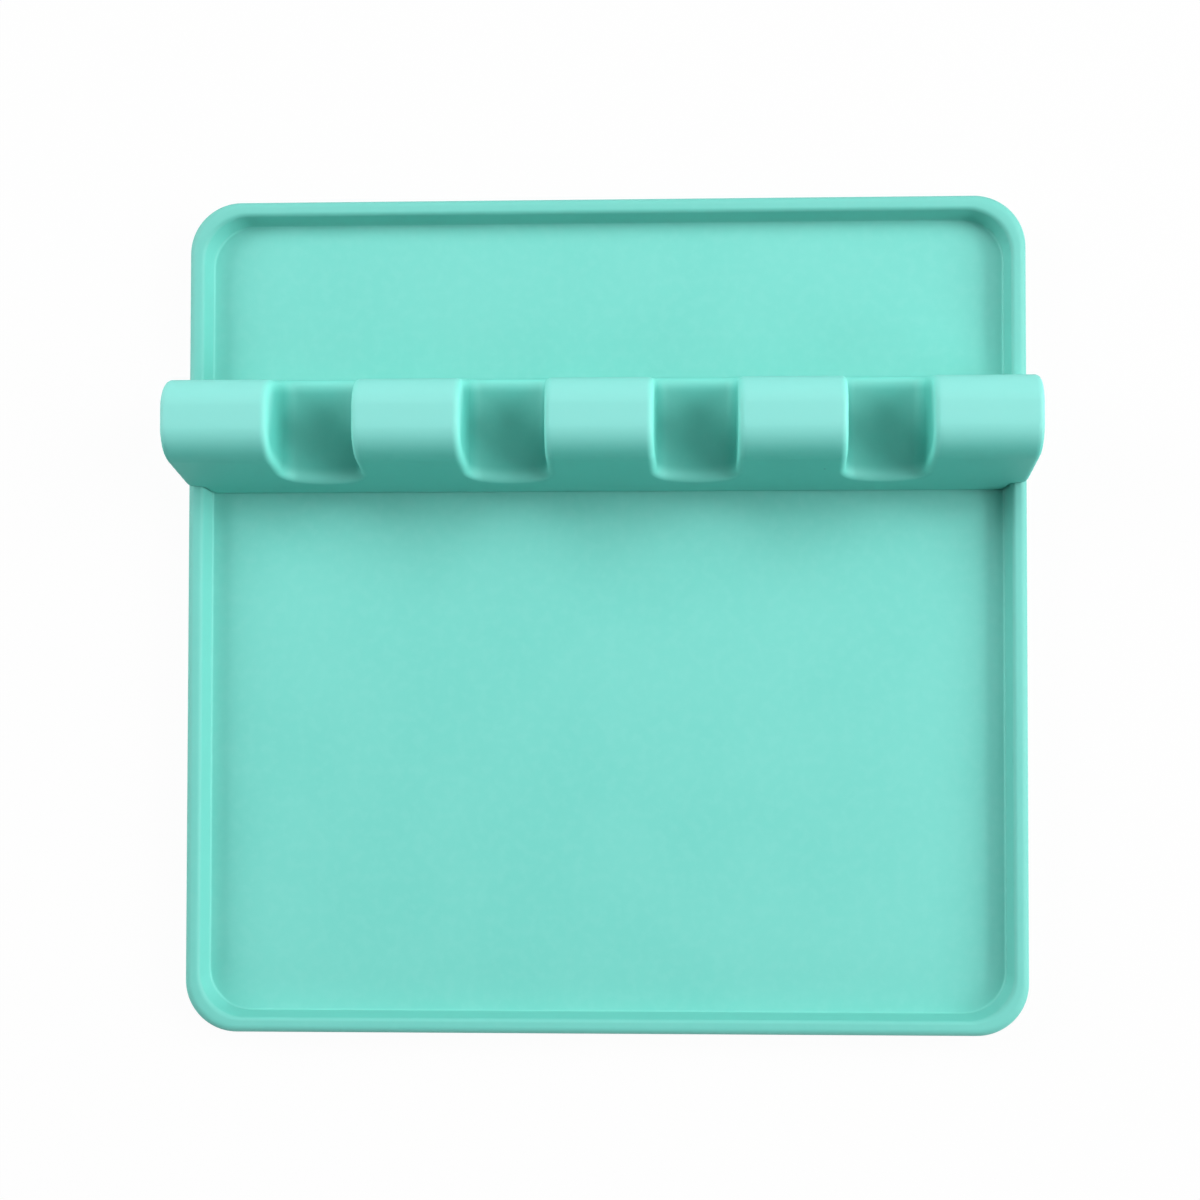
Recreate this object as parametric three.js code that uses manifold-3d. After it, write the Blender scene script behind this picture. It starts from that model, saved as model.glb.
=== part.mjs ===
// Utensil rest: a moulded silicone drip tray and the notched bar that stands across it.
// Millimetres, +Z up. The origin is the middle of the tray's underside, +Y points to the back
// and the bar runs along X. The bar is a hollow moulding that lifts straight up off the tray.
import * as THREE from 'three';
import { mergeVertices } from 'three/addons/utils/BufferGeometryUtils.js';
import Module from 'manifold-3d';

const wasm = await Module();
wasm.setup();

// Driving sizes: the tray
const trayWidth = 195;
const trayDepth = 194;
const trayCornerRadius = 12;
const floorThickness = 2.5;
const rimHeight = 7;
const rimBaseWidth = 4.7;
const rimDraftDegrees = 15;
const rimOuterRound = 1.8;
const rimInnerRound = 1.1;
const floorFillet = 0.6;
const cornerEase = 0.45;
const baseChamfer = 0.8;

// Driving sizes: the bar
const barHeight = 28;
const barOffset = 42.2;
const barFootWidth = 26.8;
const barDraftDegrees = 11.5;
const barShoulderRadius = 6;
const barEndRound = 1.3;
const barWall = 3;
const earReach = 0.2;

// Driving sizes: the notches that hold the handles
const notchCount = 4;
const notchPitch = 42.8;
const notchWidth = 18.8;
const notchFloorHeight = 10;
const notchBottomRise = 4.6;
const notchTaper = 0.5;
const notchSquareness = 2.8;

// Driving sizes: the frame on the tray's floor that keeps the bar in its place
const locatorHeight = 3;
const locatorWall = 2.5;
const locatorCornerRadius = 4;

// Clearances between the bar and the tray
const rimClearance = 0.3;
const locatorClearance = 0.4;

// How finely round stretches are divided, and how far a cutter runs past what it cuts
const cornerSteps = 6;
const rimRoundSteps = 5;
const filletSteps = 3;
const shoulderSteps = 6;
const endRoundSteps = 3;
const notchSteps = 16;
const cutterMargin = 2;

// Levels and half sizes that follow from the driving sizes
const halfWidth = trayWidth / 2;
const halfDepth = trayDepth / 2;
const rimDraft = THREE.MathUtils.degToRad(rimDraftDegrees);
const outerRoundHeight = rimHeight - rimOuterRound;
const innerRoundHeight = rimHeight - rimInnerRound;
const innerRoundReach = rimInnerRound + (innerRoundHeight - floorThickness) * Math.sin(rimDraft);
const innerRoundInset = rimBaseWidth - innerRoundReach / Math.cos(rimDraft);
const filletInset = rimBaseWidth + (floorFillet * (1 - Math.sin(rimDraft))) / Math.cos(rimDraft);
const footInset = filletInset + rimClearance;
const draft = THREE.MathUtils.degToRad(barDraftDegrees);
const hollowHalfLength = halfWidth - footInset - barWall;
const hollowHalfWidth = barFootWidth / 2 - barWall / Math.cos(draft);
const locatorTop = floorThickness + locatorHeight;

const silicone = new THREE.MeshStandardMaterial({ color: '#6fd2c2', roughness: 0.55, metalness: 0 });

// Axes that lay a flat outline across the tray (outline x along X) or along the bar (outline x along Y)
const acrossAxes = new THREE.Matrix4().makeBasis(
  new THREE.Vector3(1, 0, 0),
  new THREE.Vector3(0, 0, 1),
  new THREE.Vector3(0, -1, 0),
);
const alongAxes = new THREE.Matrix4().makeBasis(
  new THREE.Vector3(0, 1, 0),
  new THREE.Vector3(0, 0, 1),
  new THREE.Vector3(1, 0, 0),
);

// Turns a closed three.js geometry into a solid that can be joined and cut
function solidFrom(geometry) {
  const plain = geometry.clone();
  plain.deleteAttribute('normal');
  plain.deleteAttribute('uv');
  const merged = mergeVertices(plain);
  const mesh = new wasm.Mesh({
    numProp: 3,
    vertProperties: new Float32Array(merged.attributes.position.array),
    triVerts: new Uint32Array(merged.index.array),
  });
  return new wasm.Manifold(mesh);
}

// Turns a solid back into a named mesh
function meshFrom(solid, name) {
  const { vertProperties, triVerts } = solid.getMesh();
  const geometry = new THREE.BufferGeometry();
  geometry.setAttribute('position', new THREE.BufferAttribute(vertProperties, 3));
  geometry.setIndex(new THREE.BufferAttribute(triVerts, 1));
  geometry.computeVertexNormals();
  const mesh = new THREE.Mesh(geometry, silicone);
  mesh.name = name;
  return mesh;
}

// One level ring with rounded corners, counted anticlockwise from the right-hand side
function roundedRing(halfX, halfY, radius, height) {
  const corners = [[1, 1], [-1, 1], [-1, -1], [1, -1]];
  return corners.flatMap(([signX, signY], corner) => {
    const points = [];
    for (let step = 0; step <= cornerSteps; step += 1) {
      const angle = (corner + step / cornerSteps) * (Math.PI / 2);
      const x = signX * (halfX - radius) + radius * Math.cos(angle);
      const y = signY * (halfY - radius) + radius * Math.sin(angle);
      points.push(new THREE.Vector3(x, y, height));
    }
    return points;
  });
}

// Skins a stack of rings that all have the same number of points, and closes both ends
function loftRings(rings) {
  const count = rings[0].length;
  const last = rings.length - 1;
  const positions = rings.flat().flatMap((point) => [point.x, point.y, point.z]);
  const firstCentre = rings.length * count;
  const lastCentre = firstCentre + 1;
  positions.push(0, 0, rings[0][0].z, 0, 0, rings[last][0].z);
  const triangles = [];
  for (let side = 0; side < count; side += 1) {
    const next = (side + 1) % count;
    triangles.push(firstCentre, next, side);
    triangles.push(lastCentre, last * count + side, last * count + next);
    for (let level = 0; level < last; level += 1) {
      const low = level * count;
      const high = low + count;
      triangles.push(low + side, low + next, high + next);
      triangles.push(low + side, high + next, high + side);
    }
  }
  const geometry = new THREE.BufferGeometry();
  geometry.setAttribute('position', new THREE.Float32BufferAttribute(positions, 3));
  geometry.setIndex(triangles);
  return geometry;
}

// Extrudes an outline of x and height front to back, centred on the bar
function extrudeAcross(outline) {
  const length = barFootWidth + 2 * cutterMargin;
  const geometry = new THREE.ExtrudeGeometry(outline, { depth: length, bevelEnabled: false });
  geometry.applyMatrix4(acrossAxes);
  geometry.translate(0, barOffset + length / 2, 0);
  return solidFrom(geometry);
}

// The bar's cross-section, thinned by an inset: sloping faces that run down to a given height,
// round shoulders and a flat top
function barSection(inset, bottomHeight) {
  const top = barHeight - inset;
  const radius = Math.max(barShoulderRadius - inset, 0);
  const halfFoot = barFootWidth / 2 - inset / Math.cos(draft);
  const halfAt = (height) => halfFoot - (height - floorThickness) * Math.tan(draft);
  const arcCentre = halfAt(top - radius) - radius / Math.cos(draft);
  const section = new THREE.Shape();
  section.moveTo(-halfAt(bottomHeight), bottomHeight);
  section.lineTo(halfAt(bottomHeight), bottomHeight);
  section.absarc(arcCentre, top - radius, radius, draft, Math.PI / 2, false);
  section.absarc(-arcCentre, top - radius, radius, Math.PI / 2, Math.PI - draft, false);
  section.closePath();
  return section;
}

// One notch seen from the front: slightly tapered walls above a bottom that is a squared ellipse.
// The margin widens and deepens it, and gives the skin around the notch.
function notchOutline(centre, margin) {
  const halfTop = notchWidth / 2 + margin;
  const halfBottom = halfTop - notchTaper;
  const floor = notchFloorHeight - margin;
  const curveStart = floor + notchBottomRise;
  const outline = new THREE.Shape();
  outline.moveTo(centre + halfTop, barHeight + cutterMargin);
  outline.lineTo(centre - halfTop, barHeight + cutterMargin);
  for (let step = 0; step <= notchSteps; step += 1) {
    const angle = Math.PI * (1 + step / notchSteps);
    const across = Math.sign(Math.cos(angle)) * Math.abs(Math.cos(angle)) ** (2 / notchSquareness);
    const down = Math.abs(Math.sin(angle)) ** (2 / notchSquareness);
    outline.lineTo(centre + halfBottom * across, curveStart - notchBottomRise * down);
  }
  outline.closePath();
  return outline;
}

// Points along an arc as inset from the tray's side and height
function arcPoints(inset, height, radius, startAngle, endAngle, steps) {
  const points = [];
  for (let step = 0; step <= steps; step += 1) {
    const angle = startAngle + (endAngle - startAngle) * (step / steps);
    points.push([inset + radius * Math.cos(angle), height + radius * Math.sin(angle)]);
  }
  return points;
}

// The rim's outline as inset and height, swollen by a margin: from an angle on its outer round over
// the flat top and the inner round down the leaning wall to the floor
function rimOutline(margin, startAngle) {
  const up = Math.PI / 2;
  return [
    ...arcPoints(rimOuterRound, outerRoundHeight, rimOuterRound + margin, startAngle, up, rimRoundSteps),
    ...arcPoints(innerRoundInset, innerRoundHeight, rimInnerRound + margin, up, rimDraft, rimRoundSteps),
    ...arcPoints(
      filletInset,
      floorThickness + floorFillet,
      floorFillet - margin,
      Math.PI + rimDraft,
      Math.PI + up,
      filletSteps,
    ),
  ];
}

// The room that the bar leaves for one side rim: the rim's outline plus the clearance.
// Outside the rim the ear reaches a little below its top.
function rimRoomOutline(side) {
  const earEdge = rimHeight - earReach;
  const startAngle = Math.PI - Math.asin((earEdge - outerRoundHeight) / (rimOuterRound + rimClearance));
  const points = [
    [-cutterMargin, floorThickness - cutterMargin],
    [-cutterMargin, earEdge],
    ...rimOutline(rimClearance, startAngle),
    [footInset, floorThickness],
    [footInset, floorThickness - cutterMargin],
  ];
  const toCorner = ([inset, height]) => new THREE.Vector2(side * (halfWidth - inset), height);
  return new THREE.Shape(points.map(toCorner));
}

// A stack of rings inside the bar's hollow, each given by its inset from the hollow and its height
function hollowBlock(levels) {
  const rings = levels.map(([inset, height]) => (
    roundedRing(hollowHalfLength - inset, hollowHalfWidth - inset, locatorCornerRadius - inset, height)
  ));
  const geometry = loftRings(rings);
  geometry.translate(0, barOffset, 0);
  return solidFrom(geometry);
}

// The frame that keeps the bar in its place: leaning outside like the hollow, straight inside
function makeLocator() {
  const embed = floorThickness / 2;
  const outerInset = (height) => locatorClearance + (height - floorThickness) * Math.tan(draft);
  const innerInset = outerInset(locatorTop) + locatorWall;
  const block = hollowBlock([[outerInset(embed), embed], [outerInset(locatorTop), locatorTop]]);
  const pocket = hollowBlock([[innerInset, floorThickness], [innerInset, locatorTop + cutterMargin]]);
  return block.subtract(pocket);
}

// The tray: one skin from the underside up the outer wall, over the rim and down to the floor.
// The rim's inner corners are rounder than an even wall would make them.
function makeTray() {
  const levels = [[baseChamfer, 0], [0, baseChamfer], ...rimOutline(0, Math.PI)];
  const rings = levels.map(([inset, height]) => (
    roundedRing(halfWidth - inset, halfDepth - inset, trayCornerRadius - cornerEase * inset, height)
  ));
  return meshFrom(solidFrom(loftRings(rings)).add(makeLocator()), 'drip_tray');
}

// The bar: a rounded ridge with soft ends, less the notches, the hollow and the room for the side rims
function makeBar() {
  const ridge = new THREE.ExtrudeGeometry(barSection(0, floorThickness), {
    depth: trayWidth - 2 * barEndRound,
    curveSegments: shoulderSteps,
    bevelEnabled: true,
    bevelThickness: barEndRound,
    bevelSize: barEndRound,
    bevelOffset: -barEndRound,
    bevelSegments: endRoundSteps,
  });
  ridge.applyMatrix4(alongAxes);
  ridge.translate(barEndRound - halfWidth, barOffset, 0);

  const hollow = new THREE.ExtrudeGeometry(barSection(barWall, floorThickness - cutterMargin), {
    depth: 2 * hollowHalfLength,
    curveSegments: shoulderSteps,
    bevelEnabled: false,
  });
  hollow.applyMatrix4(alongAxes);
  hollow.translate(-hollowHalfLength, barOffset, 0);

  let body = solidFrom(ridge);
  let cavity = solidFrom(hollow);
  for (let notch = 0; notch < notchCount; notch += 1) {
    const centre = (notch - (notchCount - 1) / 2) * notchPitch;
    body = body.subtract(extrudeAcross(notchOutline(centre, 0)));
    cavity = cavity.subtract(extrudeAcross(notchOutline(centre, barWall)));
  }
  body = body.subtract(cavity);
  for (const side of [-1, 1]) {
    body = body.subtract(extrudeAcross(rimRoomOutline(side)));
  }
  return meshFrom(body, 'rest_bar');
}

const utensilRest = new THREE.Group();
utensilRest.name = 'utensil_rest';
utensilRest.add(makeTray(), makeBar());

export default utensilRest;
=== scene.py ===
"""Utensil rest in mint silicone: a square drip tray and the notched bar that lifts off it.

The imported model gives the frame. Every mesh is in metres and stands where its CAD node stands.
Sizes of the mouldings, their skin and the camera's place are in millimetres, and those that the frame
holds come from the frame. Sizes of the lamps and the floor are in metres.
"""
import logging
import math
from collections.abc import Callable
from dataclasses import dataclass
from enum import Enum

import bmesh
import bpy
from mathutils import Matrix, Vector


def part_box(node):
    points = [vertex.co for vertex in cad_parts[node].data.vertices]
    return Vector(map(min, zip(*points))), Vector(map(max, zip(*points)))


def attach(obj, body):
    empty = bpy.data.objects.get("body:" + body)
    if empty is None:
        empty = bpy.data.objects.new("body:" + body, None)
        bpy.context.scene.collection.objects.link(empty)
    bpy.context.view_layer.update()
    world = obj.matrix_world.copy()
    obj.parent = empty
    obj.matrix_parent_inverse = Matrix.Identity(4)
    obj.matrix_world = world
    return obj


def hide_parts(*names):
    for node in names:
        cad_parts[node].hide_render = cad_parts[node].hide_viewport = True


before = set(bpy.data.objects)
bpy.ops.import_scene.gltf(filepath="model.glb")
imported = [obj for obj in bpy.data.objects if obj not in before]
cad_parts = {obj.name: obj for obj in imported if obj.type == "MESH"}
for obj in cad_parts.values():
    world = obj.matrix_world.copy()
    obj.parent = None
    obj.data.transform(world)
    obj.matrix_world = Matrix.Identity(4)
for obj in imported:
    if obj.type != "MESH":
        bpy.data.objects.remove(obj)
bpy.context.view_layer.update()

LOG = logging.getLogger("utensil_rest")
MM = 0.001
TINY = 0.001
NOISE_MIDDLE = 0.5
INWARD = 0.0
UPWARD = 90.0
OUTWARD = 180.0
DOWNWARD = 270.0

Point = tuple[float, float]
Span = tuple[float, float]
Colour = tuple[float, float, float, float]
WHITE: Colour = (1.0, 1.0, 1.0, 1.0)


class Piece(Enum):
    """The two mouldings: the name of the CAD node that each one stands for."""

    TRAY = "drip_tray"
    BAR = "rest_bar"


class Body(Enum):
    """The bodies of the frame that the mouldings ride on."""

    TRAY = "tray"
    BAR = "bar"


class Value:
    """A number's socket in a node tree. Arithmetic on it adds Math nodes."""

    def __init__(self, tree: "NodeTree", socket: bpy.types.NodeSocket) -> None:
        """Keeps the tree and the socket that gives the number."""
        self.tree = tree
        self.socket = socket

    def __add__(self, other: "Value | float") -> "Value":
        """This number plus another."""
        return self.tree.math("ADD", self, other)

    def __radd__(self, other: float) -> "Value":
        """A plain number plus this one."""
        return self.tree.math("ADD", other, self)

    def __sub__(self, other: "Value | float") -> "Value":
        """This number less another."""
        return self.tree.math("SUBTRACT", self, other)

    def __rsub__(self, other: float) -> "Value":
        """A plain number less this one."""
        return self.tree.math("SUBTRACT", other, self)

    def __mul__(self, other: "Value | float") -> "Value":
        """This number times another."""
        return self.tree.math("MULTIPLY", self, other)

    def __rmul__(self, other: float) -> "Value":
        """A plain number times this one."""
        return self.tree.math("MULTIPLY", other, self)

    def __truediv__(self, other: "Value | float") -> "Value":
        """This number divided by another."""
        return self.tree.math("DIVIDE", self, other)

    def __rtruediv__(self, other: float) -> "Value":
        """A plain number divided by this one."""
        return self.tree.math("DIVIDE", other, self)

    def __neg__(self) -> "Value":
        """This number with its sign turned."""
        return self.tree.math("MULTIPLY", self, -1.0)

    def __abs__(self) -> "Value":
        """This number without its sign."""
        return self.tree.math("ABSOLUTE", self)

    def root(self) -> "Value":
        """The square root."""
        return self.tree.math("SQRT", self)

    def floor(self) -> "Value":
        """The whole number below."""
        return self.tree.math("FLOOR", self)

    def least(self, other: "Value | float") -> "Value":
        """The smaller of this number and another."""
        return self.tree.math("MINIMUM", self, other)

    def most(self, other: "Value | float") -> "Value":
        """The larger of this number and another."""
        return self.tree.math("MAXIMUM", self, other)


class NodeTree:
    """A node tree that is written as expressions."""

    def __init__(self, tree: bpy.types.NodeTree) -> None:
        """Keeps the tree that nodes are added to."""
        self.tree = tree

    def node(
        self, kind: str, settings: dict | None = None, sockets: dict | None = None
    ) -> bpy.types.Node:
        """Adds one node.

        Args:
            kind: the node's type.
            settings: its own properties, which are set first.
            sockets: its inputs by name or index, each a plain value, a Value or a socket to link.

        Returns:
            The new node.
        """
        made = self.tree.nodes.new(kind)
        for name, setting in (settings or {}).items():
            setattr(made, name, setting)
        for key, given in (sockets or {}).items():
            self.feed(made.inputs[key], given)
        return made

    def feed(self, target: bpy.types.NodeSocket, given: object) -> None:
        """Links a socket to what is given, or sets it to a plain value.

        Args:
            target: the input socket.
            given: a Value, an output socket or a plain value.
        """
        if isinstance(given, Value):
            given = given.socket
        if isinstance(given, bpy.types.NodeSocket):
            self.tree.links.new(given, target)
        else:
            target.default_value = given

    def math(self, operation: str, *operands: "Value | float") -> Value:
        """The result of one Math node on these numbers."""
        made = self.node("ShaderNodeMath", {"operation": operation}, dict(enumerate(operands)))
        return Value(self, made.outputs[0])

    def split(self, vector: bpy.types.NodeSocket) -> tuple[Value, Value, Value]:
        """The x, y and z of a vector."""
        made = self.node("ShaderNodeSeparateXYZ", None, {0: vector})
        return Value(self, made.outputs[0]), Value(self, made.outputs[1]), Value(self, made.outputs[2])

    def join(self, x: "Value | float", y: "Value | float", z: "Value | float") -> bpy.types.NodeSocket:
        """A vector of three numbers."""
        return self.node("ShaderNodeCombineXYZ", None, {0: x, 1: y, 2: z}).outputs[0]

    def scaled(self, vector: bpy.types.NodeSocket, factor: "Value | float") -> bpy.types.NodeSocket:
        """A vector times a number."""
        sockets = {"Vector": vector, "Scale": factor}
        return self.node("ShaderNodeVectorMath", {"operation": "SCALE"}, sockets).outputs[0]

    def step(self, value: Value, low: float, high: float) -> Value:
        """A smooth rise from 0 to 1.

        Args:
            value: what is measured.
            low: where the rise starts.
            high: where it ends.

        Returns:
            The risen value.
        """
        made = self.node(
            "ShaderNodeMapRange",
            {"interpolation_type": "SMOOTHSTEP"},
            {"Value": value, "From Min": low, "From Max": high},
        )
        return Value(self, made.outputs[0])

    def mix(self, factor: Value, first: object, second: object) -> bpy.types.NodeSocket:
        """A blend of two colours: a factor of 0 gives the first and 1 the second."""
        made = self.node("ShaderNodeMix", {"data_type": "RGBA"}, {0: factor, 6: first, 7: second})
        return made.outputs[2]

    def blend(self, factor: Value, first: bpy.types.Node, second: bpy.types.Node) -> bpy.types.Node:
        """A blend of two shaders: a factor of 0 gives the first and 1 the second."""
        sockets = {0: factor, 1: first.outputs[0], 2: second.outputs[0]}
        return self.node("ShaderNodeMixShader", None, sockets)


class ShapeTree(NodeTree):
    """A Geometry Nodes group whose inputs are named sizes in millimetres."""

    def __init__(self, name: str, sizes: dict[str, float], pickers: dict[str, str] | None = None) -> None:
        """Starts the group.

        Args:
            name: the group's name.
            sizes: each size by name, in millimetres or degrees, or a count where the value is an int.
            pickers: further inputs by name, each with its socket type.
        """
        super().__init__(bpy.data.node_groups.new(name, "GeometryNodeTree"))
        self.values: dict[str, object] = dict(sizes)
        self.keys: dict[str, str] = {}
        self.tree.interface.new_socket("Geometry", in_out="OUTPUT", socket_type="NodeSocketGeometry")
        kinds = {
            key: "NodeSocketInt" if isinstance(size, int) else "NodeSocketFloat"
            for key, size in sizes.items()
        }
        kinds.update(pickers or {})
        for key, kind in kinds.items():
            made = self.tree.interface.new_socket(key, in_out="INPUT", socket_type=kind)
            self.keys[key] = made.identifier
        self.inputs = self.node("NodeGroupInput")

    def size(self, key: str) -> Value:
        """The named input as a number."""
        return Value(self, self.inputs.outputs[key])

    def metres(self, key: str) -> Value:
        """The named size in metres."""
        return self.size(key) * MM

    def close(self, geometry: bpy.types.NodeSocket, finish: bpy.types.Material) -> None:
        """Ends the group: smooth faces, no instances, one material.

        Args:
            geometry: the socket that gives the mesh.
            finish: the material of every face.
        """
        smooth = self.node("GeometryNodeSetShadeSmooth", None, {"Geometry": geometry})
        real = self.node("GeometryNodeRealizeInstances", None, {"Geometry": smooth.outputs[0]})
        dressed = self.node(
            "GeometryNodeSetMaterial", None, {"Geometry": real.outputs[0], "Material": finish}
        )
        end = self.node("NodeGroupOutput")
        self.feed(end.inputs[0], dressed.outputs[0])

    def mesh(self, name: str, picked: dict[str, object] | None = None) -> bpy.types.Mesh:
        """Runs the group once and keeps its result as a plain mesh.

        Args:
            name: the mesh's name.
            picked: what the inputs that are not sizes hold.

        Returns:
            The mesh, with no modifier behind it.
        """
        host = bpy.data.objects.new(name + "_host", bpy.data.meshes.new(name + "_host"))
        bpy.context.scene.collection.objects.link(host)
        modifier = host.modifiers.new("shape", "NODES")
        modifier.node_group = self.tree
        for key, held in {**self.values, **(picked or {})}.items():
            modifier[self.keys[key]] = held
        graph = bpy.context.evaluated_depsgraph_get()
        made = bpy.data.meshes.new_from_object(host.evaluated_get(graph))
        made.name = name
        host.modifiers.remove(modifier)
        bpy.data.objects.remove(host)
        return made


PlaceRule = Callable[[Value, Value, Value], Value]
SizeOf = Callable[[str], "Value | float"]


@dataclass(frozen=True)
class Silicone:
    """Matte mint silicone: a moulded skin with a fine grain, faint clouding and a few specks of dust.

    The walls of the tray's rim get a deeper colour as painted shade. The high faces, most towards the
    back, and the edges of the bar's notches get a paler colour as painted highlight.
    """

    name: str
    body: Colour
    deep: Colour
    pale: Colour
    # painted shade: a deeper colour on the tray's rim walls, which makes them look shaded
    wall: Colour = (0.125, 0.505, 0.44, 1.0)
    # painted highlight: a paler colour on the high faces, most towards the back, where the back light
    # brightens them
    painted_top_highlight: Colour = (0.205, 0.635, 0.575, 1.0)
    # painted highlight: a paler colour along the edges of the notches
    painted_edge_highlight: Colour = (0.185, 0.69, 0.605, 1.0)
    speck: Colour = (0.05, 0.20, 0.20, 1.0)
    # where the painted highlight rises with height, leaning so that it starts lower towards the back
    top_highlight_rise: Span = (22.0, 28.0)
    top_highlight_tilt: float = 0.3
    top_highlight_middle: float = 42.2
    # how far the painted edge highlight reaches and how strong it is
    edge_highlight_reach: Span = (0.4, 2.3)
    edge_highlight_share: float = 0.85
    roughness: float = 0.66
    refraction: float = 1.5
    gloss_level: float = 0.7
    subsurface: float = 0.08
    subsurface_reach: tuple[float, float, float] = (0.5, 1.0, 0.9)
    cloud_per_mm: float = 0.035
    cloud_detail: float = 3.0
    cloud_rise: Span = (0.35, 0.65)
    cloud_roughness: float = 0.12
    mottle_per_mm: float = 0.4
    mottle_detail: float = 4.0
    mottle_rise: Span = (0.4, 0.7)
    mottle_share: float = 0.3
    mottle_roughness: float = 0.1
    mottle_height: float = 1.5
    grain_per_mm: float = 2.2
    grain_detail: float = 2.0
    grain_height: float = 0.012
    grain_strength: float = 0.35
    speck_cell: float = 17.0
    speck_radius: float = 0.22
    speck_smallest: float = 0.5
    speck_chosen: Span = (0.55, 0.6)
    speck_edge: Span = (0.6, 1.0)
    speck_share: float = 0.8
    speck_roughness: float = 0.2

    def make(self, painted_wall_shade: PlaceRule | None = None, edge: PlaceRule | None = None) -> bpy.types.Material:
        """Builds the material.

        Args:
            painted_wall_shade: the rule that gives 1 on a wall of the tray's rim, where painted shade
                goes, and 0 elsewhere, or None.
            edge: the rule that says how far a place is from a notch edge that gets a painted highlight, or
                None.

        Returns:
            The material, on Object coordinates.
        """
        material = bpy.data.materials.new(self.name)
        material.use_nodes = True
        material.node_tree.nodes.clear()
        tree = NodeTree(material.node_tree)
        place = tree.node("ShaderNodeTexCoord").outputs["Object"]
        spot = tree.scaled(place, 1.0 / MM)
        cloud = self.noise(tree, spot, self.cloud_per_mm, self.cloud_detail)
        mottle = self.noise(tree, spot, self.mottle_per_mm, self.mottle_detail)
        grain = self.noise(tree, spot, self.grain_per_mm, self.grain_detail)
        dust = self.specks(tree, spot)
        shade = tree.mix(tree.step(cloud, *self.cloud_rise), self.deep, self.body)
        shade = tree.mix(tree.step(mottle, *self.mottle_rise) * self.mottle_share, shade, self.pale)
        shade = self.paint_light_and_shade(tree, spot, shade, painted_wall_shade, edge)
        shade = tree.mix(dust * self.speck_share, shade, self.speck)
        rough = self.roughness + (cloud - NOISE_MIDDLE) * self.cloud_roughness
        rough = rough + (mottle - NOISE_MIDDLE) * self.mottle_roughness + dust * self.speck_roughness
        bump = tree.node(
            "ShaderNodeBump",
            None,
            {
                "Strength": self.grain_strength,
                "Distance": self.grain_height * MM,
                "Height": grain + mottle * self.mottle_height,
            },
        )
        surface = tree.node(
            "ShaderNodeBsdfPrincipled",
            {"subsurface_method": "RANDOM_WALK"},
            {
                "Base Color": shade,
                "Roughness": rough,
                "IOR": self.refraction,
                "Specular IOR Level": self.gloss_level,
                "Subsurface Weight": self.subsurface,
                "Subsurface Radius": self.subsurface_reach,
                "Subsurface Scale": MM,
                "Normal": bump.outputs[0],
            },
        )
        end = tree.node("ShaderNodeOutputMaterial")
        tree.feed(end.inputs["Surface"], surface.outputs[0])
        return material

    def paint_light_and_shade(
        self,
        tree: NodeTree,
        spot: bpy.types.NodeSocket,
        shade: bpy.types.NodeSocket,
        painted_wall_shade: PlaceRule | None,
        edge: PlaceRule | None,
    ) -> bpy.types.NodeSocket:
        """Puts painted shade on the low walls, and painted highlight on the high faces and on the edges of
        the notches.

        Args:
            tree: the material's tree.
            spot: the place in millimetres.
            shade: the colour of the skin before the painted shade and highlights.
            painted_wall_shade: the rule that gives 1 on a wall of the tray's rim, where painted shade
                goes, and 0 elsewhere, or None.
            edge: the rule that says how far a place is from a notch edge that gets a painted highlight, or
                None.

        Returns:
            The colour with the painted shade and highlights.
        """
        along, across, height = tree.split(spot)
        if painted_wall_shade:
            # painted shade: the deeper colour on the rim walls
            shade = tree.mix(painted_wall_shade(along, across, height), shade, self.wall)
        # painted highlight: paler on the high faces, more so towards the back
        highlight_height = height + (across - self.top_highlight_middle) * self.top_highlight_tilt
        shade = tree.mix(tree.step(highlight_height, *self.top_highlight_rise), shade, self.painted_top_highlight)
        # painted highlight: paler along the edges of the notches
        if edge:
            near = 1.0 - tree.step(edge(along, across, height), *self.edge_highlight_reach)
            shade = tree.mix(near * self.edge_highlight_share, shade, self.painted_edge_highlight)
        return shade

    def noise(self, tree: NodeTree, spot: bpy.types.NodeSocket, per_mm: float, detail: float) -> Value:
        """Smooth random values around one half, so many lumps to a millimetre."""
        made = tree.node("ShaderNodeTexNoise", None, {"Vector": spot, "Scale": per_mm, "Detail": detail})
        return Value(tree, made.outputs["Fac"])

    def specks(self, tree: NodeTree, spot: bpy.types.NodeSocket) -> Value:
        """Sparse specks of dust, each a small dot of its own size.

        Args:
            tree: the material's tree.
            spot: the place in millimetres.

        Returns:
            1 in a speck and 0 elsewhere.
        """
        cells = tree.node(
            "ShaderNodeTexVoronoi",
            {"voronoi_dimensions": "3D", "feature": "F1"},
            {"Vector": spot, "Scale": 1.0 / self.speck_cell},
        )
        distance = Value(tree, cells.outputs["Distance"]) * self.speck_cell
        luck, spread, _ = tree.split(cells.outputs["Color"])
        radius = self.speck_radius * (self.speck_smallest + spread)
        chosen = tree.step(luck, *self.speck_chosen)
        return (1.0 - tree.step(distance / radius, *self.speck_edge)) * chosen


@dataclass(frozen=True)
class Rim:
    """The tray's rim: a low wall with a leaning inner face and a fillet at its foot."""

    height: float
    base: float = 4.7
    draft: float = 15.0
    outer_round: float = 1.8
    inner_round: float = 1.1
    fillet: float = 0.6


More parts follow.
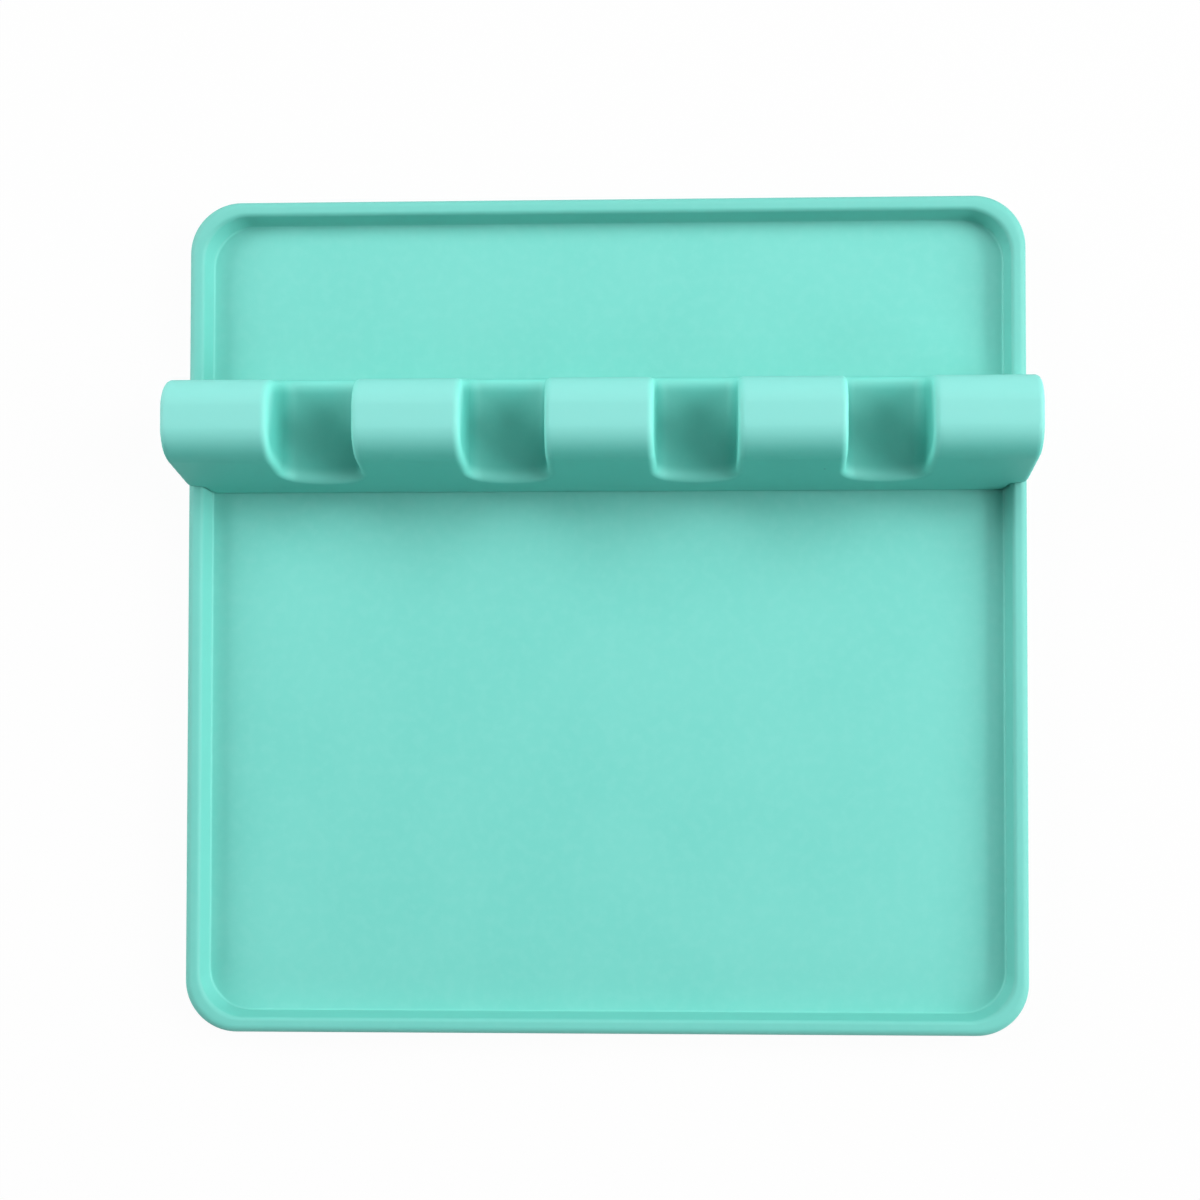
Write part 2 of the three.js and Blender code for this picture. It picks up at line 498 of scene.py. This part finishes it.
@dataclass
class DripTray:
    """The square tray: a thin floor, a low wall as its rim, and the low frame that locates the bar."""

    width: float
    depth: float
    rim: Rim
    finish: Silicone
    corner_radius: float = 12.0
    corner_ease: float = 0.45
    corner_lead: float = 1.0
    corner_steps: int = 24
    floor_thickness: float = 2.5
    base_round: float = 0.8
    base_steps: int = 6
    outer_steps: int = 12
    inner_steps: int = 10
    fillet_steps: int = 6
    skirt: float = 3.0
    frame_offset: float = 42.2
    frame_length: float = 177.28
    frame_width: float = 19.88
    frame_height: float = 3.0
    frame_wall: float = 2.5
    frame_corner: float = 3.6
    frame_corner_ease: float = 1.0
    frame_round: float = 0.6
    frame_draft: float = 11.5
    frame_steps: int = 4
    frame_skirt_outside: float = 0.5
    frame_skirt_inside: float = 0.3
    # where the painted shade on the rim walls starts and ends in height, and how far in from the tray's
    # side it covers the outer wall
    wall_shade_start: Span = (2.52, 2.8)
    wall_shade_end: Span = (6.3, 7.7)
    outside: Span = (0.6, 1.2)

    def build(self) -> bpy.types.Object:
        """Builds the tray as one closed mesh.

        Returns:
            The tray's object, at the origin.
        """
        # the finish paints shade on the rim walls
        skin = self.finish.make(painted_wall_shade=self.painted_wall_shade)
        rim_sizes = {
            "Width": self.width,
            "Depth": self.depth,
            "Corner radius": self.corner_radius,
            "Corner ease": self.corner_ease,
            "Offset": 0.0,
        }
        frame_sizes = {
            "Width": self.frame_length,
            "Depth": self.frame_width,
            "Corner radius": self.frame_corner,
            "Corner ease": self.frame_corner_ease,
            "Offset": self.frame_offset,
        }
        rim = self.sweep("rim", self.rim_outline(), skin, rim_sizes)
        ring = self.sweep("frame", self.frame_outline(), skin, frame_sizes)
        work = bmesh.new()
        work.from_mesh(rim)
        work.from_mesh(ring)
        bpy.data.meshes.remove(ring)
        bmesh.ops.remove_doubles(work, verts=work.verts, dist=TINY * MM)
        self.close_plates(work)
        bmesh.ops.recalc_face_normals(work, faces=work.faces)
        for face in work.faces:
            face.smooth = True
        work.to_mesh(rim)
        work.free()
        rim.name = Piece.TRAY.value + "_moulding"
        made = bpy.data.objects.new(rim.name, rim)
        bpy.context.scene.collection.objects.link(made)
        return made

    def close_plates(self, work: bmesh.types.BMesh) -> None:
        """Fills the underside, the floor round the frame and the floor inside it.

        Args:
            work: the mesh with its open bands.
        """
        loops: dict[str, list[bmesh.types.BMEdge]] = {"under": [], "floor": [], "inside": []}
        inner_x = self.frame_length / 2.0 - self.frame_wall
        inner_y = self.frame_width / 2.0 - self.frame_wall
        for edge in work.edges:
            if not edge.is_boundary:
                continue
            middle = (edge.verts[0].co + edge.verts[1].co) / (2.0 * MM)
            if middle.z < self.floor_thickness / 2.0:
                loops["under"].append(edge)
            elif abs(middle.x) < inner_x and abs(middle.y - self.frame_offset) < inner_y:
                loops["inside"].append(edge)
            else:
                loops["floor"].append(edge)
        for edges in loops.values():
            bmesh.ops.triangle_fill(work, use_beauty=True, edges=edges)

    def sweep(
        self, name: str, outline: list[Point], skin: bpy.types.Material, sizes: dict[str, float]
    ) -> bpy.types.Mesh:
        """Sweeps an outline round a rectangle with round corners.

        Args:
            name: the mesh's name.
            outline: points as inset from the rectangle and height.
            skin: the band's material.
            sizes: the rectangle's width, depth and corner radius, the share of an inset that a corner
                radius loses, and how far behind the origin the rectangle lies.

        Returns:
            An open band.
        """
        curve = bpy.data.curves.new(name + "_outline", "CURVE")
        spline = curve.splines.new("POLY")
        spline.points.add(len(outline) - 1)
        for point, (inset, height) in zip(spline.points, outline):
            point.co = (-inset * MM, -height * MM, 0.0, 1.0)
        profile = bpy.data.objects.new(name + "_outline", curve)
        bpy.context.scene.collection.objects.link(profile)
        tree = ShapeTree(
            "swept_" + name, {**sizes, "Corner steps": self.corner_steps}, {"Outline": "NodeSocketObject"}
        )
        path = tree.node(
            "GeometryNodeCurvePrimitiveQuadrilateral",
            {"mode": "RECTANGLE"},
            {"Width": tree.metres("Width"), "Height": tree.metres("Depth")},
        )
        round_path = tree.node(
            "GeometryNodeFilletCurve",
            {"mode": "POLY"},
            {
                "Curve": path.outputs[0],
                "Count": tree.size("Corner steps"),
                "Radius": tree.metres("Corner radius"),
            },
        )
        level = tree.node("GeometryNodeSetCurveNormal", {"mode": "Z_UP"}, {"Curve": round_path.outputs[0]})
        shape = tree.node("GeometryNodeObjectInfo", None, {"Object": tree.inputs.outputs["Outline"]})
        band = tree.node(
            "GeometryNodeCurveToMesh",
            None,
            {"Curve": level.outputs[0], "Profile Curve": shape.outputs["Geometry"]},
        )
        shift_x, shift_y = self.ease(tree)
        shift = tree.join(shift_x * MM, shift_y * MM + tree.metres("Offset"), 0.0)
        moved = tree.node("GeometryNodeSetPosition", None, {"Geometry": band.outputs[0], "Offset": shift})
        tree.close(moved.outputs[0], skin)
        made = tree.mesh(name, {"Outline": profile})
        bpy.data.objects.remove(profile)
        return made

    def ease(self, tree: ShapeTree) -> tuple[Value, Value]:
        """How far a corner's points move, so that inner corners are rounder than an even wall makes them.

        Args:
            tree: the sweep's tree.

        Returns:
            The shifts along X and Y in millimetres, 0 outside the corners.
        """
        place = tree.node("GeometryNodeInputPosition").outputs[0]
        x, y, _ = tree.split(tree.scaled(place, 1.0 / MM))
        corner = tree.size("Corner radius")
        over_x = abs(x) - tree.size("Width") / 2.0 + corner
        over_y = abs(y) - tree.size("Depth") / 2.0 + corner
        in_corner = tree.math("GREATER_THAN", over_x.least(over_y), -self.corner_lead)
        over_x = over_x.most(0.0)
        over_y = over_y.most(0.0)
        reach = (over_x * over_x + over_y * over_y).root().most(TINY)
        slack = (1.0 - tree.size("Corner ease")) * (corner - reach) * in_corner
        shift_x = tree.math("SIGN", x) * slack * (over_x / reach - 1.0)
        shift_y = tree.math("SIGN", y) * slack * (over_y / reach - 1.0)
        return shift_x, shift_y

    def painted_wall_shade(self, x: Value, y: Value, z: Value) -> Value:
        """Where the tray gets painted shade: on the walls of its rim, inside and outside.

        Args:
            x: the place along the tray's width.
            y: the place along its depth.
            z: the height over the table.

        Returns:
            1 on the walls, 0 on the floor and less than 1 on the rim's top.
        """
        tree = x.tree
        inset = -meet(abs(x) - self.width / 2.0, abs(y) - self.depth / 2.0, self.corner_radius)
        shaded_walls = tree.step(z, *self.wall_shade_start).most(1.0 - tree.step(inset, *self.outside))
        return shaded_walls * (1.0 - tree.step(z, *self.wall_shade_end))

    def rim_outline(self) -> list[Point]:
        """The rim's outline, from the underside over its top to the floor.

        Returns:
            Points as inset from the tray's side and height.
        """
        rim = self.rim
        lean = math.radians(rim.draft)
        outer = rim.outer_round
        inner = rim.inner_round
        base = self.base_round
        foot = self.floor_thickness
        inner_level = rim.height - inner
        inner_inset = rim.base - (inner + (inner_level - foot) * math.sin(lean)) / math.cos(lean)
        fillet_inset = rim.base + rim.fillet * (1.0 - math.sin(lean)) / math.cos(lean)
        fillet_centre = (fillet_inset, foot + rim.fillet)
        points = [(base + self.skirt, 0.0)]
        points += arc((base, base), base, DOWNWARD, OUTWARD, self.base_steps)
        points += arc((outer, rim.height - outer), outer, OUTWARD, UPWARD, self.outer_steps)
        points += arc((inner_inset, inner_level), inner, UPWARD, rim.draft, self.inner_steps)
        points += arc(fillet_centre, rim.fillet, OUTWARD + rim.draft, DOWNWARD, self.fillet_steps)
        points.append((fillet_inset + self.skirt, foot))
        return points

    def frame_outline(self) -> list[Point]:
        """The locating frame's outline, from the floor outside it over its top to the floor inside it.

        Returns:
            Points as inset from the frame's outer foot and height.
        """
        foot = self.floor_thickness
        top = foot + self.frame_height
        lean = self.frame_height * math.tan(math.radians(self.frame_draft))
        soft = self.frame_round
        inside = self.frame_wall + lean
        points = [(-self.frame_skirt_outside, foot), (0.0, foot)]
        points += arc((lean + soft, top - soft), soft, OUTWARD, UPWARD, self.frame_steps)
        points += arc((inside - soft, top - soft), soft, UPWARD, INWARD, self.frame_steps)
        points += [(inside, foot), (inside + self.frame_skirt_inside, foot)]
        return points

    def dress(self, made: bpy.types.Object) -> None:
        """Hides the tray's CAD node and ties the tray to its body.

        Args:
            made: the tray's object.
        """
        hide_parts(Piece.TRAY.value)
        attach(made, Body.TRAY.value)


@dataclass
class RestBar:
    """The bar across the tray: a hollow moulding with soft shoulders, notches and ears over the rim."""

    length: float
    foot_width: float
    offset: float
    foot_level: float
    top: float
    rim: Rim
    finish: Silicone
    draft: float = 11.5
    shoulder_radius: float = 6.0
    end_round: float = 1.3
    wall: float = 3.0
    hollow_length: float = 178.08
    edge_round: float = 1.3
    foot_round: float = 0.7
    hollow_round: float = 1.0
    notch_count: int = 4
    notch_pitch: float = 42.8
    notch_width: float = 18.8
    notch_taper: float = 0.5
    notch_level: float = 10.0
    notch_sag: float = 2.2
    notch_round: float = 2.5
    rim_gap: float = 0.3
    ear_level: float = 6.8
    voxel: float = 0.65
    margin: float = 1.3
    nudge: float = 0.05
    least_steep: float = 0.2
    skin_density: float = 1.0
    # how far the painted highlight along the notch edges is stretched inside and outside the notches
    edge_highlight_inside: float = 0.65
    edge_highlight_outside: float = 1.3

    def sizes(self) -> dict[str, float]:
        """The sizes that the bar's rule takes, by name."""
        return {
            "Length": self.length,
            "Foot width": self.foot_width,
            "Foot level": self.foot_level,
            "Top": self.top,
            "Shoulder radius": self.shoulder_radius,
            "End round": self.end_round,
            "Wall": self.wall,
            "Hollow length": self.hollow_length,
            "Edge round": self.edge_round,
            "Foot round": self.foot_round,
            "Hollow round": self.hollow_round,
            "Notch pitch": self.notch_pitch,
            "Notch width": self.notch_width,
            "Notch taper": self.notch_taper,
            "Notch level": self.notch_level,
            "Notch sag": self.notch_sag,
            "Notch round": self.notch_round,
            "Rim height": self.rim.height,
            "Rim base": self.rim.base,
            "Rim outer round": self.rim.outer_round,
            "Rim inner round": self.rim.inner_round,
            "Rim gap": self.rim_gap,
            "Ear level": self.ear_level,
            "Floor fillet": self.rim.fillet,
        }

    def build(self) -> bpy.types.Object:
        """Builds the bar from the rule that says how far any place is from its surface.

        Returns:
            The bar's object, at the origin.
        """
        tree = ShapeTree("notched_bar", self.sizes())
        place = tree.node("GeometryNodeInputPosition").outputs[0]
        x, y, z = tree.split(tree.scaled(place, 1.0 / MM))
        y = y - self.offset
        nudge = self.nudge
        depth = self.distance(tree.size, x, y, z)
        slope_x = (self.distance(tree.size, x + nudge, y, z) - depth) / nudge
        slope_y = (self.distance(tree.size, x, y + nudge, z) - depth) / nudge
        slope_z = (self.distance(tree.size, x, y, z + nudge) - depth) / nudge
        steep = (slope_x * slope_x + slope_y * slope_y + slope_z * slope_z).most(self.least_steep)
        back = depth * -MM / steep
        low = (
            -self.length / 2.0 - self.margin,
            self.offset - self.foot_width / 2.0 - self.margin,
            self.foot_level - self.margin,
        )
        high = (
            self.length / 2.0 + self.margin,
            self.offset + self.foot_width / 2.0 + self.margin,
            self.top + self.margin,
        )
        cells = [round((end - start) / self.voxel) for start, end in zip(low, high)]
        block = tree.node(
            "GeometryNodeVolumeCube",
            None,
            {
                "Density": self.skin_density - depth,
                "Background": 0.0,
                "Min": [value * MM for value in low],
                "Max": [value * MM for value in high],
                "Resolution X": cells[0],
                "Resolution Y": cells[1],
                "Resolution Z": cells[2],
            },
        )
        skin = tree.node(
            "GeometryNodeVolumeToMesh",
            {"resolution_mode": "GRID"},
            {"Volume": block.outputs[0], "Threshold": self.skin_density},
        )
        settle = tree.join(slope_x * back, slope_y * back, slope_z * back)
        once = tree.node("GeometryNodeSetPosition", None, {"Geometry": skin.outputs[0], "Offset": settle})
        twice = tree.node("GeometryNodeSetPosition", None, {"Geometry": once.outputs[0], "Offset": settle})
        # the finish paints a highlight along the notch edges
        tree.close(twice.outputs[0], self.finish.make(edge=self.edge))
        made = tree.mesh(Piece.BAR.value + "_moulding")
        bar = bpy.data.objects.new(made.name, made)
        bpy.context.scene.collection.objects.link(bar)
        return bar

    def distance(self, size: SizeOf, x: Value, y: Value, z: Value) -> Value:
        """How far a place is outside the bar.

        Args:
            size: gives a size of the bar by its name.
            x: the place along the bar, from its middle.
            y: the place across the bar, from its middle.
            z: the height over the table.

        Returns:
            The distance in millimetres, below zero inside the silicone.
        """
        section = self.section(size, y, z)
        end = abs(x) - size("Length") / 2.0
        notch = self.notch(size, x, z)
        body = meet(meet(section, end, size("End round")), -notch, size("Edge round"))
        room = meet(section + size("Wall"), abs(x) - size("Hollow length") / 2.0, size("Hollow round"))
        room = meet(room, size("Wall") - notch, size("Hollow round"))
        body = meet(body, -room, size("Foot round"))
        body = meet(body, -self.rim_room(size, x, z), size("Foot round"))
        return meet(body, size("Foot level") - z, size("Foot round"))

    def section(self, size: SizeOf, y: Value, z: Value) -> Value:
        """How far a place is outside the plain ridge that the notches are cut from.

        Args:
            size: gives a size of the bar by its name.
            y: the place across the bar, from its middle.
            z: the height over the table.

        Returns:
            The distance in millimetres, below zero inside the ridge.
        """
        lean = math.radians(self.draft)
        side = (abs(y) - size("Foot width") / 2.0) * math.cos(lean)
        side = side + (z - size("Foot level")) * math.sin(lean)
        return meet(side, z - size("Top"), size("Shoulder radius"))

    def edge(self, x: Value, y: Value, z: Value) -> Value:
        """How far a place on the skin is from the nearest edge of a notch, which sets the painted
        highlight along that edge.

        The painted highlight reaches farther into a notch than over the faces outside it.

        Args:
            x: the place along the bar.
            y: the place across the tray.
            z: the height over the table.

        Returns:
            The distance in millimetres, shortened in the notch and lengthened outside it.
        """
        size = self.sizes().__getitem__
        inside = abs(self.section(size, y - self.offset, z)) * self.edge_highlight_inside
        outside = abs(self.notch(size, x, z)) * self.edge_highlight_outside
        return inside + outside

    def notch(self, size: SizeOf, x: Value, z: Value) -> Value:
        """How far a place is outside the nearest notch.

        Args:
            size: gives a size of the bar by its name.
            x: the place along the bar.
            z: the height over the table.

        Returns:
            The distance in millimetres, below zero in the notch.
        """
        pitch = size("Notch pitch")
        half_count = self.notch_count / 2.0
        cell = (x / pitch).floor().most(-half_count).least(half_count - 1.0)
        across = abs(x - (cell + 0.5) * pitch)
        half = size("Notch width") / 2.0
        depth = size("Top") - size("Notch level")
        wall = across - half + (size("Top") - z) / depth * size("Notch taper")
        sag = across / half
        bottom = size("Notch level") + sag * sag * size("Notch sag") - z
        return meet(wall, bottom, size("Notch round"))

    def rim_room(self, size: SizeOf, x: Value, z: Value) -> Value:
        """How far a place is outside the room that the bar leaves for the tray's side rim.

        Args:
            size: gives a size of the bar by its name.
            x: the place along the bar.
            z: the height over the table.

        Returns:
            The distance in millimetres, below zero in the room.
        """
        lean = math.radians(self.rim.draft)
        diagonal = math.sqrt(0.5)
        inset = size("Length") / 2.0 - abs(x)
        gap = size("Rim gap")
        wall = (inset - size("Rim base")) * math.cos(lean)
        wall = wall + (z - size("Foot level")) * math.sin(lean)
        rim = meet(wall, z - size("Rim height"), size("Rim inner round"))
        rim = meet(rim, -inset, size("Rim outer round")) - gap
        outer = (inset - size("Rim outer round")).most(z - size("Ear level"))
        corner = inset - size("Rim base") - gap - size("Floor fillet")
        slant = ((corner + z - size("Foot level")) * diagonal).most(corner)
        return rim.least(outer).least(slant)

    def dress(self, made: bpy.types.Object) -> None:
        """Hides the bar's CAD node and ties the bar to its body.

        Args:
            made: the bar's object.
        """
        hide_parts(Piece.BAR.value)
        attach(made, Body.BAR.value)


def meet(first: Value, second: Value, radius: "Value | float") -> Value:
    """The part that two shapes share, with a round edge where they meet.

    Args:
        first: distance outside the first shape.
        second: distance outside the second shape.
        radius: the edge's radius.

    Returns:
        Distance outside what they share.
    """
    over_first = (first + radius).most(0.0)
    over_second = (second + radius).most(0.0)
    reach = (over_first * over_first + over_second * over_second).root()
    return first.most(second).least(-radius) + reach


def arc(centre: Point, radius: float, start: float, end: float, steps: int) -> list[Point]:
    """Points along an arc.

    Args:
        centre: the arc's centre.
        radius: its radius.
        start: the angle of its first point, in degrees.
        end: the angle of its last point.
        steps: how many chords it has.

    Returns:
        The points, both ends included.
    """
    points = []
    for index in range(steps + 1):
        angle = math.radians(start + (end - start) * index / steps)
        points.append((centre[0] + radius * math.cos(angle), centre[1] + radius * math.sin(angle)))
    return points


@dataclass(frozen=True)
class Lamp:
    """A soft box: an area lamp that looks at the middle of the rest."""

    name: str
    azimuth: float
    elevation: float
    distance: float
    width: float
    height: float
    power: float

    def make(self) -> None:
        """Hangs the lamp."""
        data = bpy.data.lights.new(self.name, "AREA")
        data.shape = "RECTANGLE"
        data.size = self.width
        data.size_y = self.height
        data.energy = self.power
        lamp = bpy.data.objects.new(self.name, data)
        turn = math.radians(self.azimuth)
        rise = math.radians(self.elevation)
        lamp.location = (
            self.distance * math.cos(rise) * math.cos(turn),
            self.distance * math.cos(rise) * math.sin(turn),
            self.distance * math.sin(rise),
        )
        lamp.rotation_euler = (math.pi / 2.0 - rise, 0.0, turn + math.pi / 2.0)
        bpy.context.scene.collection.objects.link(lamp)


@dataclass(frozen=True)
class Studio:
    """The photograph's view: a camera almost straight above, soft lamps and a white floor."""

    camera_place: tuple[float, float, float] = (24.3, -31.1, 395.0)
    camera_turn: tuple[float, float, float] = (1.37, 1.88, 0.03)
    lens: float = 50.5
    shift: Point = (-0.045, 0.09)
    nearest: float = 10.0
    ambient: float = 0.03
    ceiling_edge: float = 0.2
    floor_size: float = 3.0
    floor_drop: float = 0.0002
    floor_shade: Colour = (0.7, 0.7, 0.7, 1.0)
    glow: float = 0.96
    shadow_reach: float = 0.2
    lamps: tuple[Lamp, ...] = (
        Lamp("right_box", azimuth=0.0, elevation=25.5, distance=1.8, width=1.88, height=0.83, power=35.0),
        Lamp("high_box", azimuth=20.0, elevation=44.0, distance=1.8, width=0.9, height=0.9, power=11.0),
        Lamp("left_box", azimuth=160.0, elevation=25.5, distance=1.8, width=1.12, height=0.83, power=23.7),
        Lamp("back_box", azimuth=92.0, elevation=50.0, distance=1.2, width=1.0, height=0.7, power=4.9),
        Lamp("front_box", azimuth=270.0, elevation=13.0, distance=1.2, width=1.0, height=0.35, power=1.9),
    )

    def make(self) -> None:
        """Sets the camera, the lamps, the world and the floor."""
        self.set_camera()
        self.set_world()
        for lamp in self.lamps:
            lamp.make()
        self.lay_floor()
        bpy.context.scene.view_settings.view_transform = "Standard"

    def set_camera(self) -> None:
        """Puts the camera where the photograph was taken from."""
        data = bpy.data.cameras.new("camera")
        data.lens = self.lens
        data.shift_x, data.shift_y = self.shift
        data.clip_start = self.nearest * MM
        camera = bpy.data.objects.new("camera", data)
        camera.location = [value * MM for value in self.camera_place]
        camera.rotation_euler = [math.radians(value) for value in self.camera_turn]
        bpy.context.scene.collection.objects.link(camera)
        bpy.context.scene.camera = camera

    def set_world(self) -> None:
        """Gives the faint light of a white room.

        A gloss mirrors its white walls low down in front and behind, and a dark ceiling over them.
        """
        world = bpy.data.worlds.new("white_room")
        world.use_nodes = True
        world.node_tree.nodes.clear()
        tree = NodeTree(world.node_tree)
        seen = seen_by_eye(tree)
        _, behind, rise = tree.split(tree.node("ShaderNodeTexCoord").outputs["Generated"])
        direct = Value(tree, tree.node("ShaderNodeLightPath").outputs["Is Camera Ray"])
        ceiling = tree.step(rise - abs(behind), -self.ceiling_edge, self.ceiling_edge) * (1.0 - direct)
        light = tree.node("ShaderNodeBackground", None, {"Color": WHITE, "Strength": self.ambient})
        wall = tree.node("ShaderNodeBackground", None, {"Color": WHITE, "Strength": 1.0 - ceiling})
        end = tree.node("ShaderNodeOutputWorld")
        tree.feed(end.inputs["Surface"], tree.blend(seen, light, wall).outputs[0])
        bpy.context.scene.world = world

    def lay_floor(self) -> bpy.types.Object:
        """Lays the white floor, which keeps a faint shadow of the rest and is clear from below.

        Returns:
            The floor's object.
        """
        half = self.floor_size / 2.0
        corners = [(-half, -half), (half, -half), (half, half), (-half, half)]
        mesh = bpy.data.meshes.new("floor")
        mesh.from_pydata([(x, y, -self.floor_drop) for x, y in corners], [], [(0, 1, 2, 3)])
        material = bpy.data.materials.new("white_floor")
        material.use_nodes = True
        material.node_tree.nodes.clear()
        tree = NodeTree(material.node_tree)
        matte = tree.node("ShaderNodeBsdfDiffuse", None, {"Color": self.floor_shade})
        bright = tree.node("ShaderNodeEmission", None, {"Color": WHITE, "Strength": 1.0})
        along, across, _ = tree.split(tree.node("ShaderNodeTexCoord").outputs["Object"])
        radius = (along * along + across * across).root()
        away = tree.step(radius, self.shadow_reach, half)
        glow = seen_by_eye(tree) * (self.glow + away * (1.0 - self.glow))
        above = tree.blend(glow, matte, bright)
        under = Value(tree, tree.node("ShaderNodeNewGeometry").outputs["Backfacing"])
        clear = tree.node("ShaderNodeBsdfTransparent")
        end = tree.node("ShaderNodeOutputMaterial")
        tree.feed(end.inputs["Surface"], tree.blend(under, above, clear).outputs[0])
        mesh.materials.append(material)
        floor = bpy.data.objects.new("floor", mesh)
        bpy.context.scene.collection.objects.link(floor)
        return floor


def seen_by_eye(tree: NodeTree) -> Value:
    """1 for what the camera sees directly, in a gloss or through glass.

    Args:
        tree: the tree of a floor or a world.

    Returns:
        1 or 0.
    """
    path = tree.node("ShaderNodeLightPath")
    direct = Value(tree, path.outputs["Is Camera Ray"])
    gloss = Value(tree, path.outputs["Is Glossy Ray"])
    glass = Value(tree, path.outputs["Is Transmission Ray"])
    return direct.most(gloss).most(glass)


def main() -> None:
    """Builds the studio, the tray and the bar."""
    logging.basicConfig(level=logging.INFO, format="%(name)s: %(message)s")
    Studio().make()
    tray_finish = Silicone(
        "tray_silicone",
        body=(0.155, 0.6, 0.525, 1.0),
        deep=(0.145, 0.59, 0.515, 1.0),
        pale=(0.195, 0.63, 0.56, 1.0),
    )
    # painted shade: the bar is a darker copy of the tray's mint, so its notches and front face look shaded
    bar_finish_painted_shade = Silicone(
        "bar_silicone",
        body=(0.083, 0.49, 0.42, 1.0),
        deep=(0.078, 0.48, 0.41, 1.0),
        pale=(0.104, 0.508, 0.438, 1.0),
    )
    tray_low, tray_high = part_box(Piece.TRAY.value)
    bar_low, bar_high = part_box(Piece.BAR.value)
    rim = Rim(height=tray_high[2] / MM)
    tray = DripTray(
        width=(tray_high[0] - tray_low[0]) / MM,
        depth=(tray_high[1] - tray_low[1]) / MM,
        rim=rim,
        finish=tray_finish,
    )
    bar = RestBar(
        length=(bar_high[0] - bar_low[0]) / MM,
        foot_width=(bar_high[1] - bar_low[1]) / MM,
        offset=(bar_high[1] + bar_low[1]) / 2.0 / MM,
        foot_level=bar_low[2] / MM,
        top=bar_high[2] / MM,
        rim=rim,
        finish=bar_finish_painted_shade,
    )
    for moulding in (tray, bar):
        made = moulding.build()
        moulding.dress(made)
        LOG.info("%s: %d faces", made.name, len(made.data.polygons))


if __name__ == "__main__":
    main()
